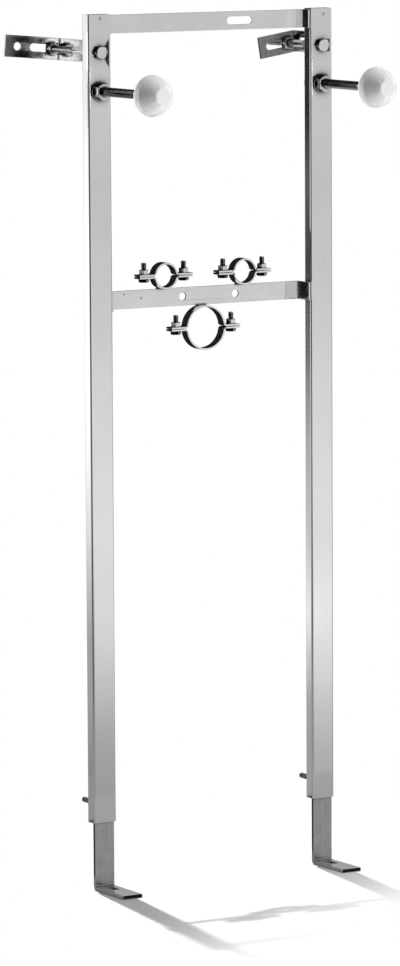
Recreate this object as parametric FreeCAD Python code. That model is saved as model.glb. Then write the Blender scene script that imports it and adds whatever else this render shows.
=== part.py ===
"""Wall-hung washbasin mounting frame: two tube posts on telescoping feet, two cross bars,
pipe clamps, basin studs with protective caps, and angle brackets that tie it to the wall.

Millimetres.  +X is to the right, +Y is towards the wall and +Z is up.
The origin is the middle of the top bar's back face.
"""
import FreeCAD, Part
import math
import os
from FreeCAD import Vector

# Posts
post_spacing = 280.0
post_width = 28.0
post_depth = 15.0
post_wall = 1.5
post_corner = 2.5
post_length = 877.0

# Top bar, flush with the back of the posts
top_bar_height = 20.0
top_bar_thickness = 2.0
top_bar_drop = 1.2
top_bar_tab = 13.0
top_slot_offset = 43.0
top_slot_length = 32.0
top_slot_height = 8.5

# Clamp bar, set back behind the posts
clamp_bar_height = 20.0
clamp_bar_thickness = 2.0
clamp_bar_drop = 300.4
clamp_bar_setback = 10.5
clamp_bar_tab = 25.5
clamp_bar_hole = 8.5
clamp_bar_hole_left = -23.5
clamp_bar_hole_right = 43.5
bar_bend = 1.0

# Pipe clamps
supply_spacing = 100.0
supply_pipe = 25.0
waste_pipe = 45.0
band_thickness = 2.0
band_width = 12.5
band_gap = 0.6
ear_length = 19.0
ear_root = 1.5
clamp_bolt_out = 10.5
clamp_bolt_size = 6.0
clamp_bolt_flats = 10.0
clamp_bolt_head = 4.0
clamp_bolt_rise = 15.0
clamp_nut_height = 5.0

# Basin studs
stud_drop = 82.0
stud_size = 10.0
stud_reach = 122.0
stud_tail = 12.0
stud_nut_flats = 17.0
stud_nut_height = 8.0
stud_washer = 21.0
stud_washer_thickness = 2.0

# Stud caps
cap_diameter = 44.6
cap_rim_width = 7.0
cap_shoulder_diameter = 42.0
cap_dome_depth = 19.5
cap_bulge_radius = 16.2
cap_bulge_depth = 8.6
cap_flat_size = 18.5
cap_facet_depth = 5.0
cap_facet_spread = 5.0
cap_past_stud = 13.0

# Wall brackets on long bolts
bracket_bolt_drop = 40.3
bracket_bolt_size = 8.0
bracket_bolt_length = 110.0
bracket_bolt_flats = 13.0
bracket_bolt_head = 5.3
bracket_nut_height = 6.5
bracket_washer = 16.0
bracket_washer_thickness = 1.6
bracket_height = 24.0
bracket_thickness = 2.5
bracket_bend = 1.5
bracket_arm = 59.5
bracket_arm_slot_start = 10.0
bracket_slot_length = 31.0
bracket_slot_height = 8.5
bracket_hole = 8.8
bracket_hole_margin = 15.5
left_flange_length = 67.0
left_flange_distance = 91.0
left_bracket_turn = 5.0
right_flange_length = 45.0
right_flange_distance = 57.5
right_bracket_turn = -9.0

# Telescoping feet
foot_clearance = 0.5
foot_thickness = 4.0
foot_bend = 1.5
foot_drop = 74.6
foot_inside = 225.0
foot_toe = 60.5
foot_slot_width = 9.0
foot_slot_length = 20.0
foot_slot_start = 7.0
lock_screw_size = 6.0
lock_screw_rise = 18.5
lock_screw_reach = 32.0
lock_screw_gap = 0.3
lock_socket_flats = 3.0
lock_socket_depth = 4.0
lock_nut_flats = 10.0
lock_nut_height = 5.0

# Shared fits and the turning of hexagons
hole_clearance = 0.5
thread_clearance = 0.05
hex_face_share = 0.95
hex_chamfer_angle = 30.0
corners_upright = 30.0

# Levels and planes that follow from the sizes above
post_top = top_bar_height / 2 + top_bar_drop
post_bottom = post_top - post_length
front = -post_depth
inner_side = post_spacing / 2 - post_width / 2
bracket_level = post_top - bracket_bolt_drop
stud_level = post_top - stud_drop
clamp_bar_top = post_top - clamp_bar_drop
clamp_bar_bottom = clamp_bar_top - clamp_bar_height
clamp_bar_back = clamp_bar_setback + clamp_bar_thickness
lock_level = post_bottom + lock_screw_rise
foot_front = front + post_wall + foot_clearance
foot_back = foot_front + foot_thickness
sole_level = post_bottom - foot_drop
bracket_bolt_to_arm = bracket_washer / 2 + bracket_bend
cap_front = stud_reach + cap_past_stud
sides = {"left": -post_spacing / 2, "right": post_spacing / 2}

back_axis = Vector(0, 1, 0)
up_axis = Vector(0, 0, 1)


def block(x, y, z):
    """A box between two values on each axis."""
    return Part.makeBox(x[1] - x[0], y[1] - y[0], z[1] - z[0], Vector(x[0], y[0], z[0]))


def rounded_post(x, y, z, radius):
    """A box whose upright edges are rounded."""
    solid = block(x, y, z)
    upright = [e for e in solid.Edges if abs(e.tangentAt(e.FirstParameter).z) > 0.99]
    return solid.makeFillet(radius, upright)


def rod(diameter, start, axis, length):
    """A round bar from a point along an axis."""
    return Part.makeCylinder(diameter / 2, length, start, axis)


def polygon(corners, flats, level=0.0, turn=0.0):
    """A regular outline in a level plane, its size measured across the flats."""
    radius = flats / 2 / math.cos(math.pi / corners)
    angles = [math.radians(turn) + 2 * math.pi * i / corners for i in range(corners)]
    points = [Vector(radius * math.cos(a), radius * math.sin(a), level) for a in angles]
    return Part.makePolygon(points + points[:1])


def hex_bar(flats, start, axis, length, turn=0.0):
    """A hexagon prism from a point along an axis."""
    prism = Part.Face(polygon(6, flats, 0, turn)).extrude(up_axis * length)
    prism.Placement = FreeCAD.Placement(start, FreeCAD.Rotation(up_axis, axis))
    return prism


def hex_piece(flats, start, axis, length, turn=0.0):
    """A hexagon prism whose outer end is turned down to a round face, as on nuts and heads."""
    prism = hex_bar(flats, start, axis, length, turn)
    corner = flats / 2 / math.cos(math.pi / 6)
    face = flats / 2 * hex_face_share
    turned = (corner - face) * math.tan(math.radians(hex_chamfer_angle))
    body = Part.makeCylinder(corner, length - turned, start, axis)
    cone = Part.makeCone(corner, face, turned, start + axis * (length - turned), axis)
    return prism.common(body.fuse(cone)).removeSplitter()


def nut(flats, bore, start, axis, length, turn=0.0):
    """A chamfered hexagon nut on a threaded bar."""
    body = hex_piece(flats, start, axis, length, turn)
    return body.cut(rod(bore + 2 * thread_clearance, start, axis, length))


def washer(diameter, bore, start, axis, thickness):
    """A flat ring."""
    ring = rod(diameter, start, axis, thickness)
    return ring.cut(rod(bore + 2 * hole_clearance, start, axis, thickness))


def slot(centre, along, through, length, height, depth):
    """A round-ended cutter: its length runs along one axis and it is pushed through another."""
    half = along * (length / 2 - height / 2)
    start = centre - through * (depth / 2)
    ends = [rod(height, start + half * s, through, depth) for s in (-1, 1)]
    across = through.cross(along)
    corner = start - half - across * (height / 2)
    points = [corner, corner + half * 2, corner + half * 2 + across * height, corner + across * height]
    middle = Part.Face(Part.makePolygon(points + points[:1])).extrude(through * depth)
    return middle.fuse(ends).removeSplitter()


def make_post(x):
    """A rounded tube with its bolt, stud and locking screw holes."""
    half = post_width / 2
    inner = half - post_wall
    z = (post_bottom, post_top)
    tube = rounded_post((x - half, x + half), (front, 0), z, post_corner)
    hollow = rounded_post((x - inner, x + inner), (front + post_wall, -post_wall), z,
                          post_corner - post_wall)
    tube = tube.cut(hollow)
    for size, level in ((bracket_bolt_size, bracket_level), (stud_size, stud_level)):
        tube = tube.cut(rod(size + 2 * hole_clearance, Vector(x, front, level), back_axis, post_depth))
    screw_hole = rod(lock_screw_size + 2 * hole_clearance, Vector(x, -2 * post_wall, lock_level),
                     back_axis, 2 * post_wall)
    return tube.cut(screw_hole)


def bent_bar(back, thickness, tab, z):
    """A flat bar between the posts whose ends turn forward along the posts' inner sides."""
    y = (back - tab - thickness, back)
    outer = block((-inner_side, inner_side), y, z)
    bends = [e for e in outer.Edges
             if abs(e.tangentAt(e.FirstParameter).z) > 0.99 and e.Vertexes[0].Y > back - thickness / 2]
    outer = outer.makeFillet(bar_bend + thickness, bends)
    reach = inner_side - thickness
    inner = block((-reach, reach), (y[0], back - thickness), z)
    bends = [e for e in inner.Edges
             if abs(e.tangentAt(e.FirstParameter).z) > 0.99 and e.Vertexes[0].Y > back - 1.5 * thickness]
    return outer.cut(inner.makeFillet(bar_bend, bends))


def make_top_bar():
    """The top bar with its off-centre slot."""
    half = top_bar_height / 2
    bar = bent_bar(0, top_bar_thickness, top_bar_tab - top_bar_thickness, (-half, half))
    cutter = slot(Vector(top_slot_offset, -top_bar_thickness / 2, 0), Vector(1, 0, 0), back_axis,
                  top_slot_length, top_slot_height, 2 * top_bar_thickness)
    return bar.cut(cutter)


def make_clamp_bar():
    """The lower bar that carries the pipe clamps, with two round holes."""
    bar = bent_bar(clamp_bar_back, clamp_bar_thickness, clamp_bar_tab - clamp_bar_thickness,
                   (clamp_bar_bottom, clamp_bar_top))
    level = (clamp_bar_bottom + clamp_bar_top) / 2
    for x in (clamp_bar_hole_left, clamp_bar_hole_right):
        start = Vector(x, clamp_bar_setback - clamp_bar_thickness, level)
        bar = bar.cut(rod(clamp_bar_hole, start, back_axis, 3 * clamp_bar_thickness))
    return bar


def half_clamp(pipe, centre, up):
    """One half of a pipe clamp: a strip of constant thickness bent into a half ring and two ears."""
    bore = pipe / 2
    outer = bore + band_thickness
    low = band_gap / 2
    high = low + band_thickness
    reach = outer + ear_length
    root_angle = math.asin((high + ear_root) / (outer + ear_root))
    root = Vector((outer + ear_root) * math.cos(root_angle), 0, high + ear_root)
    bend_angle = math.pi + (root_angle + math.pi / 2) / 2

    def on_ring(radius):
        return Vector(radius * math.cos(root_angle), 0, radius * math.sin(root_angle))

    def on_bend(radius):
        return root + Vector(radius * math.cos(bend_angle), 0, radius * math.sin(bend_angle))

    def mirrored(point):
        return Vector(-point.x, 0, point.z)

    edges = []
    for radius, bend, level in ((outer, ear_root, high), (bore, ear_root + band_thickness, low)):
        ear_start = Vector(root.x, 0, level)
        ear_end = Vector(reach, 0, level)
        edges.append(Part.Arc(on_ring(radius), Vector(0, 0, radius), mirrored(on_ring(radius))).toShape())
        for side in (Vector, mirrored):
            edges.append(Part.Arc(side(on_ring(radius)), side(on_bend(bend)), side(ear_start)).toShape())
            edges.append(Part.makeLine(side(ear_start), side(ear_end)))
    for x in (-reach, reach):
        edges.append(Part.makeLine(Vector(x, 0, low), Vector(x, 0, high)))
    strip = Part.Wire(Part.__sortEdges__(edges))
    band = Part.Face(strip).extrude(back_axis * band_width)
    for s in (-1, 1):
        hole = Vector(s * (outer + clamp_bolt_out), band_width / 2, 0)
        band = band.cut(rod(clamp_bolt_size + 2 * hole_clearance, hole, up_axis, 2 * high))
    if not up:
        band = band.mirror(Vector(0, 0, 0), up_axis)
    band.translate(centre)
    return band


def make_clamp(name, pipe, centre):
    """A two-part pipe clamp with the bolts and nuts through its ears."""
    outer = pipe / 2 + band_thickness
    ear = band_gap / 2 + band_thickness
    bolts = []
    nuts = []
    for s in (-1, 1):
        axis_point = centre + Vector(s * (outer + clamp_bolt_out), band_width / 2, 0)
        below = axis_point - up_axis * ear
        above = axis_point + up_axis * ear
        head = hex_piece(clamp_bolt_flats, below, up_axis * -1, clamp_bolt_head)
        shank = rod(clamp_bolt_size, below, up_axis, ear + clamp_bolt_rise)
        bolts.append(head.fuse(shank).removeSplitter())
        nuts.append(nut(clamp_bolt_flats, clamp_bolt_size, above, up_axis, clamp_nut_height))
    return {name + "_upper_half": half_clamp(pipe, centre, True),
            name + "_lower_half": half_clamp(pipe, centre, False),
            name + "_bolts": Part.makeCompound(bolts),
            name + "_nuts": Part.makeCompound(nuts)}


def make_stud(x):
    """A threaded bar through the post, with a nut and washer in front and a nut behind."""
    start = Vector(x, stud_tail, stud_level)
    bar = rod(stud_size, start, back_axis * -1, stud_tail + post_depth + stud_reach)
    face = Vector(x, front, stud_level)
    ring = washer(stud_washer, stud_size, face, back_axis * -1, stud_washer_thickness)
    seat = face - back_axis * stud_washer_thickness
    front_nut = nut(stud_nut_flats, stud_size, seat, back_axis * -1, stud_nut_height, corners_upright)
    back_nut = nut(stud_nut_flats, stud_size, Vector(x, 0, stud_level), back_axis, stud_nut_height,
                   corners_upright)
    return {"stud": bar, "stud_washer": ring, "stud_front_nut": front_nut, "stud_back_nut": back_nut}


def make_cap(x):
    """A round plastic cap on the stud's end: a rim, a dome and an eight-sided flat in front."""
    depth = cap_rim_width + cap_dome_depth
    rim = cap_diameter / 2
    shoulder = cap_shoulder_diameter / 2
    flat = cap_flat_size / 2 / math.cos(math.pi / 8)
    bulge = Vector(cap_bulge_radius, 0, depth - cap_bulge_depth)
    outline = [Part.makeLine(Vector(0, 0, 0), Vector(rim, 0, 0)),
               Part.makeLine(Vector(rim, 0, 0), Vector(shoulder, 0, cap_rim_width)),
               Part.Arc(Vector(shoulder, 0, cap_rim_width), bulge, Vector(flat, 0, depth)).toShape(),
               Part.makeLine(Vector(flat, 0, depth), Vector(0, 0, depth)),
               Part.makeLine(Vector(0, 0, depth), Vector(0, 0, 0))]
    dome = Part.Face(Part.Wire(outline)).revolve(Vector(0, 0, 0), up_axis, 360)
    half_side = 180 / 8
    wide = cap_flat_size + 2 * cap_facet_spread
    facets = Part.makeLoft([polygon(8, wide, depth - cap_facet_depth, half_side),
                            polygon(8, cap_flat_size, depth, half_side)], True)
    behind = Part.makeCylinder(cap_diameter, depth - cap_facet_depth)
    dome = dome.common(facets.fuse(behind))
    back = Vector(x, front - cap_front + depth, stud_level)
    dome.Placement = FreeCAD.Placement(back, FreeCAD.Rotation(up_axis, back_axis * -1))
    bore_depth = stud_reach - (cap_front - depth)
    return dome.cut(rod(stud_size + 2 * thread_clearance, back, back_axis * -1, bore_depth))


def make_bracket(x, flange_length, flange_distance, turn, with_hole):
    """An angle of flat bar: a slotted flange against the wall and a slotted arm towards the post."""
    z = (bracket_level - bracket_height / 2, bracket_level + bracket_height / 2)
    arm_side = x + bracket_bolt_to_arm
    outer_side = arm_side + bracket_thickness
    back = flange_distance + bracket_thickness
    flange = (arm_side - flange_length, outer_side)
    outer = block(flange, (back - bracket_arm, back), z)
    bends = [e for e in outer.Edges if abs(e.tangentAt(e.FirstParameter).z) > 0.99
             and e.Vertexes[0].Y > flange_distance and e.Vertexes[0].X > arm_side]
    outer = outer.makeFillet(bracket_bend + bracket_thickness, bends)
    inner = block((flange[0], arm_side), (back - bracket_arm, flange_distance), z)
    bends = [e for e in inner.Edges if abs(e.tangentAt(e.FirstParameter).z) > 0.99
             and e.Vertexes[0].Y > flange_distance - bracket_thickness
             and e.Vertexes[0].X > arm_side - bracket_thickness]
    angle = outer.cut(inner.makeFillet(bracket_bend, bends))
    slot_end = x + bracket_slot_height / 2
    flange_slot = Vector(slot_end - bracket_slot_length / 2, flange_distance, bracket_level)
    angle = angle.cut(slot(flange_slot, Vector(1, 0, 0), back_axis, bracket_slot_length,
                           bracket_slot_height, 4 * bracket_thickness))
    arm_slot_middle = flange_distance - bracket_arm_slot_start - bracket_slot_length / 2
    angle = angle.cut(slot(Vector(arm_side, arm_slot_middle, bracket_level), back_axis, Vector(1, 0, 0),
                           bracket_slot_length, bracket_slot_height, 4 * bracket_thickness))
    if with_hole:
        hole = Vector(flange[0] + bracket_hole_margin, flange_distance - bracket_thickness, bracket_level)
        angle = angle.cut(rod(bracket_hole, hole, back_axis, 4 * bracket_thickness))
    angle.rotate(Vector(x, 0, bracket_level), back_axis, turn)
    return angle


def make_bracket_bolt(x, flange_distance):
    """The long bolt through the post, with the nut and washer that hold the bracket on it."""
    face = Vector(x, front, bracket_level)
    head = hex_piece(bracket_bolt_flats, face, back_axis * -1, bracket_bolt_head, corners_upright)
    shank = rod(bracket_bolt_size, face, back_axis, bracket_bolt_length)
    ring_seat = Vector(x, flange_distance, bracket_level)
    ring = washer(bracket_washer, bracket_bolt_size, ring_seat, back_axis * -1, bracket_washer_thickness)
    nut_seat = ring_seat - back_axis * bracket_washer_thickness
    front_nut = nut(bracket_bolt_flats, bracket_bolt_size, nut_seat, back_axis * -1, bracket_nut_height)
    return {"bracket_bolt": head.fuse(shank).removeSplitter(), "bracket_washer": ring,
            "bracket_nut": front_nut}


def make_foot(x):
    """A flat strip that slides in the post and turns forward into a slotted toe."""
    half = post_width / 2 - post_wall - foot_clearance
    sides_x = (x - half, x + half)
    toe_front = foot_front - foot_toe
    outer = block(sides_x, (toe_front, foot_back), (sole_level, post_bottom + foot_inside))
    bends = [e for e in outer.Edges if abs(e.tangentAt(e.FirstParameter).x) > 0.99
             and e.Vertexes[0].Y > foot_front and e.Vertexes[0].Z < post_bottom]
    outer = outer.makeFillet(foot_bend + foot_thickness, bends)
    inner = block(sides_x, (toe_front, foot_front), (sole_level + foot_thickness, post_bottom + foot_inside))
    bends = [e for e in inner.Edges if abs(e.tangentAt(e.FirstParameter).x) > 0.99
             and e.Vertexes[0].Y > foot_front - foot_thickness and e.Vertexes[0].Z < post_bottom]
    strip = outer.cut(inner.makeFillet(foot_bend, bends))
    middle = foot_front - foot_slot_start - foot_slot_length / 2
    return strip.cut(slot(Vector(x, middle, sole_level), back_axis, up_axis, foot_slot_length,
                          foot_slot_width, 4 * foot_thickness))


def make_foot_lock(x):
    """The grub screw that holds the foot, in a nut on the back of the post."""
    tip = Vector(x, foot_back + lock_screw_gap, lock_level)
    length = lock_screw_reach - tip.y
    screw = rod(lock_screw_size, tip, back_axis, length)
    socket = Vector(x, lock_screw_reach - lock_socket_depth, lock_level)
    screw = screw.cut(hex_bar(lock_socket_flats, socket, back_axis, lock_socket_depth))
    back_nut = nut(lock_nut_flats, lock_screw_size, Vector(x, 0, lock_level), back_axis, lock_nut_height)
    return {"foot_lock_screw": screw, "foot_lock_nut": back_nut}


brackets = {"left": (left_flange_length, left_flange_distance, left_bracket_turn, True),
            "right": (right_flange_length, right_flange_distance, right_bracket_turn, False)}
pieces = {"top_bar": make_top_bar(), "clamp_bar": make_clamp_bar()}
for side, post_x in sides.items():
    made = {"post": make_post(post_x), "stud_cap": make_cap(post_x), "foot": make_foot(post_x),
            "wall_bracket": make_bracket(post_x, *brackets[side])}
    made.update(make_stud(post_x))
    made.update(make_bracket_bolt(post_x, brackets[side][1]))
    made.update(make_foot_lock(post_x))
    pieces.update({side + "_" + name: solid for name, solid in made.items()})

band_front = clamp_bar_back - band_width
supply_level = clamp_bar_top + supply_pipe / 2 + band_thickness
waste_level = clamp_bar_bottom - waste_pipe / 2 - band_thickness
for side, share in (("left", -0.5), ("right", 0.5)):
    pieces.update(make_clamp(side + "_supply_clamp", supply_pipe,
                             Vector(share * supply_spacing, band_front, supply_level)))
pieces.update(make_clamp("waste_clamp", waste_pipe, Vector(0, band_front, waste_level)))

os.makedirs("parts", exist_ok=True)
for name, solid in pieces.items():
    solid.exportStep("parts/" + name + ".step")
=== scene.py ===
import math
import random

import bmesh
import bpy
from bpy.props import FloatProperty, FloatVectorProperty, PointerProperty
from mathutils import Matrix, Vector


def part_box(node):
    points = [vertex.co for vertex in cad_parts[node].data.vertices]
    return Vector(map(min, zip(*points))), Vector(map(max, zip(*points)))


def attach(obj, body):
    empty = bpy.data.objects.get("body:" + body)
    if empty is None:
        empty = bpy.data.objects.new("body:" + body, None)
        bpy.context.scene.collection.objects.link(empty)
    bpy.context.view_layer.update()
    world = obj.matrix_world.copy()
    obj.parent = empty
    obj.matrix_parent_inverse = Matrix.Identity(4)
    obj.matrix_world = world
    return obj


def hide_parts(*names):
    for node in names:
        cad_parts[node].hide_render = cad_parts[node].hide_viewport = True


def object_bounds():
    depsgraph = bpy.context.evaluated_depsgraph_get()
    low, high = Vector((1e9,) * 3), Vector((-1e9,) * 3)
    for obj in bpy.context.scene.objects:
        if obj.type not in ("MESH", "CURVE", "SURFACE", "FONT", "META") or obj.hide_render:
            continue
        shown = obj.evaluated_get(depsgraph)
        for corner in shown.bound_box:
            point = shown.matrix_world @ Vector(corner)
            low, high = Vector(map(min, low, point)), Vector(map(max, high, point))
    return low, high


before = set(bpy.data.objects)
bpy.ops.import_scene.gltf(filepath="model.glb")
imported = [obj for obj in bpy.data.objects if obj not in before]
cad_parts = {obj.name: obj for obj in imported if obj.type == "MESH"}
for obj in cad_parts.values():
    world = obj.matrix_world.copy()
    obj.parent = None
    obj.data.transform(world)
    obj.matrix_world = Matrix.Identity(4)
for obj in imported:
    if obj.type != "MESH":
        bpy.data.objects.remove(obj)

bl_info = {
    "name": "Washbasin frame dresser",
    "version": (1, 0, 0),
    "blender": (4, 5, 0),
    "location": "3D View > Sidebar > Basin frame",
    "description": "Dresses the steel mounting frame of a wall-hung washbasin and sets its stage",
    "category": "Object",
}

CAD_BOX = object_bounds()
FLOOR = CAD_BOX[0][2]
MM = 0.001
BODY = "frame"
SIDES = ("left", "right")
BARS = ("top_bar", "clamp_bar")
CLAMPS = ("left_supply_clamp", "right_supply_clamp", "waste_clamp")
BAR_SHEET = 2 * MM
FORWARD = (0, -1, 0)
BACKWARD = (0, 1, 0)


# Sizes and finishes that a user would change

class BasinFrameSizes(bpy.types.PropertyGroup):
    """Fine shapes that are added to the frame."""
    stud_pitch: FloatProperty(
        name="Stud pitch", description="Thread pitch of the basin studs", default=1.5 * MM, unit="LENGTH")
    bolt_pitch: FloatProperty(
        name="Bracket bolt pitch", description="Thread pitch of the bracket bolts",
        default=1.25 * MM, unit="LENGTH")
    small_pitch: FloatProperty(
        name="Small bolt pitch", description="Thread pitch of the clamp bolts and the locking screws",
        default=1.0 * MM, unit="LENGTH")
    sheet_edge: FloatProperty(
        name="Sheet edge", description="Rounding of the bars', clamps' and feet's edges",
        default=0.3 * MM, unit="LENGTH")
    nut_edge: FloatProperty(
        name="Nut edge", description="Rounding of the edges of nuts and washers",
        default=0.15 * MM, unit="LENGTH")
    bead: FloatProperty(
        name="Weld bead", description="Radius of the weld beads", default=1.2 * MM, unit="LENGTH")
    bolt_thread: FloatProperty(
        name="Bracket bolt thread", description="Threaded length of each bracket bolt",
        default=56.0 * MM, unit="LENGTH")
    cap_flat: FloatProperty(
        name="Cap flat", description="Size of the caps' flat across its eight sides",
        default=18.5 * MM, unit="LENGTH")
    cap_rim: FloatProperty(
        name="Cap rim", description="Width of the band at the back of the caps",
        default=7.0 * MM, unit="LENGTH")


class BasinFrameFinish(bpy.types.PropertyGroup):
    """Colours of the plated steel and of the plastic."""
    post: FloatVectorProperty(
        name="Posts", description="Bright zinc of the posts", subtype="COLOR", default=(0.80, 0.805, 0.81))
    bar: FloatVectorProperty(
        name="Bars", description="Bright zinc of the cross bars",
        subtype="COLOR", default=(0.83, 0.835, 0.84))
    foot: FloatVectorProperty(
        name="Feet", description="Duller zinc of the feet", subtype="COLOR", default=(0.63, 0.635, 0.64))
    bracket: FloatVectorProperty(
        name="Wall brackets", description="Cloudy zinc of the wall brackets",
        subtype="COLOR", default=(0.90, 0.905, 0.91))
    clamp: FloatVectorProperty(
        name="Pipe clamps", description="Bright zinc of the pipe clamps",
        subtype="COLOR", default=(0.92, 0.925, 0.93))
    fastener: FloatVectorProperty(
        name="Fasteners", description="Plated nuts, bolts and washers",
        subtype="COLOR", default=(0.85, 0.855, 0.86))
    stud: FloatVectorProperty(
        name="Studs", description="Plated thread of the studs",
        subtype="COLOR", default=(0.55, 0.555, 0.56))
    cap: FloatVectorProperty(
        name="Caps", description="White plastic of the stud caps",
        subtype="COLOR", default=(0.88, 0.88, 0.87))


class BasinFrameStage(bpy.types.PropertyGroup):
    """Light levels of the stage."""
    sun: FloatProperty(
        name="Sun", description="Strength of the key light behind the frame",
        default=2.8, subtype="FACTOR")
    front: FloatProperty(
        name="Front spot", description="Power of the spot before each cap", default=298.0, unit="POWER")
    top: FloatProperty(
        name="Top spot", description="Power of the spot above each cap", default=106.0, unit="POWER")
    rim: FloatProperty(
        name="Rim spot", description="Power of the spot behind each cap", default=560.0, unit="POWER")
    under: FloatProperty(
        name="Low softbox", description="Power of the softbox under each cap", default=2.9, unit="POWER")
    ambient: FloatProperty(
        name="Ambient", description="Strength of the even light", default=0.6, subtype="FACTOR")


def sizes():
    return bpy.context.scene.basin_frame_sizes


def finish():
    return bpy.context.scene.basin_frame_finish


# Shader nodes

def add_node(tree, kind, links=None, **values):
    """A shader node with settings by name, and inputs that are constants or other nodes' sockets."""
    made = tree.nodes.new("ShaderNode" + kind)
    for name, value in values.items():
        setattr(made, name, value)
    for name, source in (links or {}).items():
        if isinstance(source, bpy.types.NodeSocket):
            tree.links.new(source, made.inputs[name])
        else:
            made.inputs[name].default_value = source
    return made


def calculate(tree, operation, *terms):
    """The result of a math node."""
    return add_node(tree, "Math", dict(enumerate(terms)), operation=operation).outputs[0]


def remap(tree, source, start, end, low=0.0, high=1.0):
    """A value taken from one range to another and held at both ends."""
    terms = (source, start, end, low, high)
    return add_node(tree, "MapRange", dict(enumerate(terms))).outputs[0]


def mix_values(tree, share, start, end):
    """A value between two others."""
    return add_node(tree, "Mix", {0: share, 2: start, 3: end}, data_type="FLOAT").outputs[0]


def mix_colours(tree, share, start, end):
    """A colour between two others."""
    return add_node(tree, "Mix", {0: share, 6: start, 7: end}, data_type="RGBA").outputs[2]


def object_place(tree):
    """Where a point is on its object."""
    return add_node(tree, "TexCoord").outputs["Object"]


def noise(tree, place, scale, detail, roughness=0.5):
    """Cloudy noise over a place."""
    links = {"Vector": place, "Scale": scale, "Detail": detail, "Roughness": roughness}
    return add_node(tree, "TexNoise", links).outputs[0]


def shade(colour, share=1.0):
    """A share of a colour, with full alpha."""
    return (*(c * share for c in colour), 1)


def lay_out(tree):
    """Spreads the nodes in rows so that the tree can be read."""
    for i, made in enumerate(tree.nodes):
        made.location = (200 * (i % 8), -260 * (i // 8))


def new_material(name):
    """A material and its empty node tree."""
    material = bpy.data.materials.new(name)
    material.use_nodes = True
    material.node_tree.nodes.clear()
    return material, material.node_tree


def close_tree(tree, shader, kind="OutputMaterial"):
    """Joins a shader to the output of its tree."""
    add_node(tree, kind, {0: shader.outputs[0]})
    lay_out(tree)


FLOAT = "NodeSocketFloat"
VECTOR = "NodeSocketVector"
COLOUR = "NodeSocketColor"


def new_group(name, inputs, outputs):
    """An empty shader node group with named sockets, and what comes in through them."""
    group = bpy.data.node_groups.new(name, "ShaderNodeTree")
    for label, kind, default in inputs:
        socket = group.interface.new_socket(label, in_out="INPUT", socket_type=kind)
        socket.default_value = default
    for label, kind in outputs:
        group.interface.new_socket(label, in_out="OUTPUT", socket_type=kind)
    return group, group.nodes.new("NodeGroupInput").outputs


def close_group(group, results):
    """Joins results to the named outputs of their group."""
    out = group.nodes.new("NodeGroupOutput")
    for name, result in results.items():
        group.links.new(result, out.inputs[name])
    lay_out(group)


def place_group(tree, name, values):
    """Places a shared node group in a tree with its own values, and builds the group at its first use."""
    if name not in bpy.data.node_groups:
        SHARED_GROUPS[name](name)
    return add_node(tree, "Group", values, node_tree=bpy.data.node_groups[name]).outputs


def make_plated_metal(name):
    """Cloudy plating with drawn streaks along the metal: a colour, a roughness and a height."""
    group, given = new_group(
        name,
        [("Bright", COLOUR, (0.6, 0.6, 0.6, 1)), ("Dull", COLOUR, (0.4, 0.4, 0.4, 1)),
         ("Grain", VECTOR, (800, 800, 12)), ("Cloud Scale", FLOAT, 30.0),
         ("Smooth", FLOAT, 0.12), ("Rough", FLOAT, 0.3)],
        [("Color", COLOUR), ("Roughness", FLOAT), ("Height", FLOAT)])
    place = object_place(group)
    drawn = add_node(group, "VectorMath", {0: place, 1: given["Grain"]}, operation="MULTIPLY")
    streak = noise(group, drawn.outputs[0], 1.0, 3.0)
    cloud = noise(group, place, given["Cloud Scale"], 4.0, 0.6)
    spread = remap(group, mix_values(group, 0.4, cloud, streak), 0.36, 0.64)
    close_group(group, {"Color": mix_colours(group, spread, given["Dull"], given["Bright"]),
                        "Roughness": mix_values(group, spread, given["Rough"], given["Smooth"]),
                        "Height": streak})


def make_scuffs(name):
    """Sparse small specks and rubbed spots: a mask."""
    group, given = new_group(name, [("Scale", FLOAT, 160.0), ("Amount", FLOAT, 0.3)], [("Mask", FLOAT)])
    place = object_place(group)
    cells = add_node(group, "TexVoronoi", {"Vector": place, "Scale": given["Scale"]}, feature="F1")
    speck = remap(group, cells.outputs[0], 0.22, 0.08)
    sparse = remap(group, noise(group, place, 45.0, 2.0), 0.52, 0.68)
    both = calculate(group, "MULTIPLY", speck, sparse)
    close_group(group, {"Mask": calculate(group, "MULTIPLY", both, given["Amount"])})


def make_painted_corner_shade(name):
    """Painted shade where surfaces meet, darkest where ambient occlusion finds other surfaces near: a mask.
    """
    group, given = new_group(name, [("Distance", FLOAT, 0.008), ("Amount", FLOAT, 0.8)], [("Mask", FLOAT)])
    # Painted shade: ambient occlusion marks where other surfaces are near, and the mask grows there
    near = add_node(group, "AmbientOcclusion", {"Distance": given["Distance"]}, samples=8)
    painted_shade = remap(group, near.outputs["AO"], 0.92, 0.55)
    close_group(group, {"Mask": calculate(group, "MULTIPLY", painted_shade, given["Amount"])})


SHARED_GROUPS = {"plated_metal": make_plated_metal, "scuffs": make_scuffs, "corner_grime": make_painted_corner_shade}

# Scale of the drawn streaks on each axis, smallest along the metal
ALONG_X = (14, 800, 800)
ALONG_Y = (800, 14, 800)
ALONG_Z = (800, 800, 10)
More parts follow.
